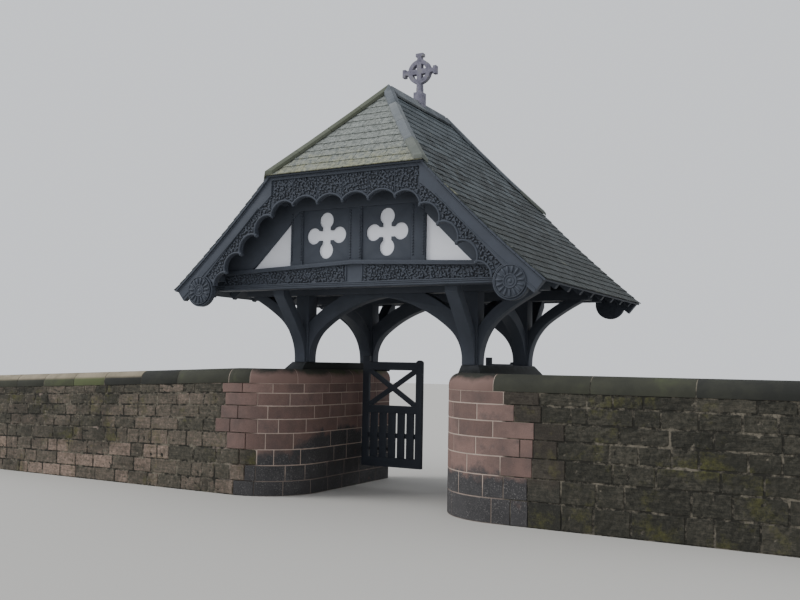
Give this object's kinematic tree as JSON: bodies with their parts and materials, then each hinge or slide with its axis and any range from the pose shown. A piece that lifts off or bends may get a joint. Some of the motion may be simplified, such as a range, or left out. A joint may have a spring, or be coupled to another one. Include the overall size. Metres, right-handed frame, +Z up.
{
  "type": "lychgate",
  "caption": "Timber lychgate with a half-hipped slate roof, scalloped bargeboards and curved braces on sandstone walls, with a pair of swinging gates and a stone ridge cross.",
  "frame": {"origin": "on the ground in the middle of the passage", "axes": "+X along the road to the right, +Y into the churchyard, +Z up"},
  "size_m": [13.28, 4.026, 6.1137],
  "materials": {
    "sandstone_wall": "coursed sandstone, stained and mossy",
    "coping_stone": "weathered sandstone with moss",
    "cross_stone": "weathered grey stone",
    "slates": "riven slate with moss",
    "ridge_stone": "weathered grey stone",
    "white_plaster": "limewashed plaster, matt",
    "carved_oak": "carved oak, matt black paint",
    "frame_oak": "adzed oak, matt black paint",
    "sill_oak": "weathered oak, worn black paint",
    "gate_oak": "planed oak, black paint",
    "black_iron": "wrought iron, black paint"
  },
  "bodies": {
    "lychgate": {"common_rafters": "frame_oak", "eaves_braces": "frame_oak", "eaves_plates": "frame_oak", "front_arch_braces": "frame_oak", "front_cross_beam": "frame_oak", "front_gable_boards": "frame_oak", "front_gable_frame": "frame_oak", "front_gable_infill": "white_plaster", "front_gable_studs": "frame_oak", "front_half_hip": "slates", "front_hip_board": "carved_oak", "front_left_bargeboard": "carved_oak", "front_left_post": "frame_oak", "front_right_bargeboard": "carved_oak", "front_right_post": "frame_oak", "front_tie_beam": "carved_oak", "gable_braces": "frame_oak", "gate_pintles": "black_iron", "hip_rafters": "frame_oak", "hip_tiles": "ridge_stone", "left_arch_braces": "frame_oak", "left_coping": "coping_stone", "left_roof_slope": "slates", "left_sill": "sill_oak", "left_wall": "sandstone_wall", "purlins": "frame_oak", "rear_arch_braces": "frame_oak", "rear_cross_beam": "frame_oak", "rear_gable_boards": "frame_oak", "rear_gable_frame": "frame_oak", "rear_gable_infill": "white_plaster", "rear_gable_studs": "frame_oak", "rear_half_hip": "slates", "rear_hip_board": "carved_oak", "rear_left_bargeboard": "carved_oak", "rear_left_post": "frame_oak", "rear_right_bargeboard": "carved_oak", "rear_right_post": "frame_oak", "rear_tie_beam": "carved_oak", "ridge_beam": "frame_oak", "ridge_cross": "cross_stone", "ridge_tiles": "ridge_stone", "right_arch_braces": "frame_oak", "right_coping": "coping_stone", "right_roof_slope": "slates", "right_sill": "sill_oak", "right_wall": "sandstone_wall", "wall_plates": "frame_oak"},
    "left_leaf": {"left_gate_frame": "gate_oak", "left_gate_hinges": "black_iron", "left_gate_pales": "gate_oak"},
    "right_leaf": {"right_gate_frame": "gate_oak", "right_gate_hinges": "black_iron", "right_gate_pales": "gate_oak"}
  },
  "joints": [
    {"name": "left_gate_hinge", "type": "hinge", "parent": "lychgate", "child": "left_leaf", "pos_m": [-0.98, 0.285, 0.5], "axis": [0, 0, 1], "range_deg": [0, 90]},
    {"name": "right_gate_hinge", "type": "hinge", "parent": "lychgate", "child": "right_leaf", "pos_m": [0.98, 0.285, 0.5], "axis": [0, 0, 1], "range_deg": [0, 90]}
  ]
}
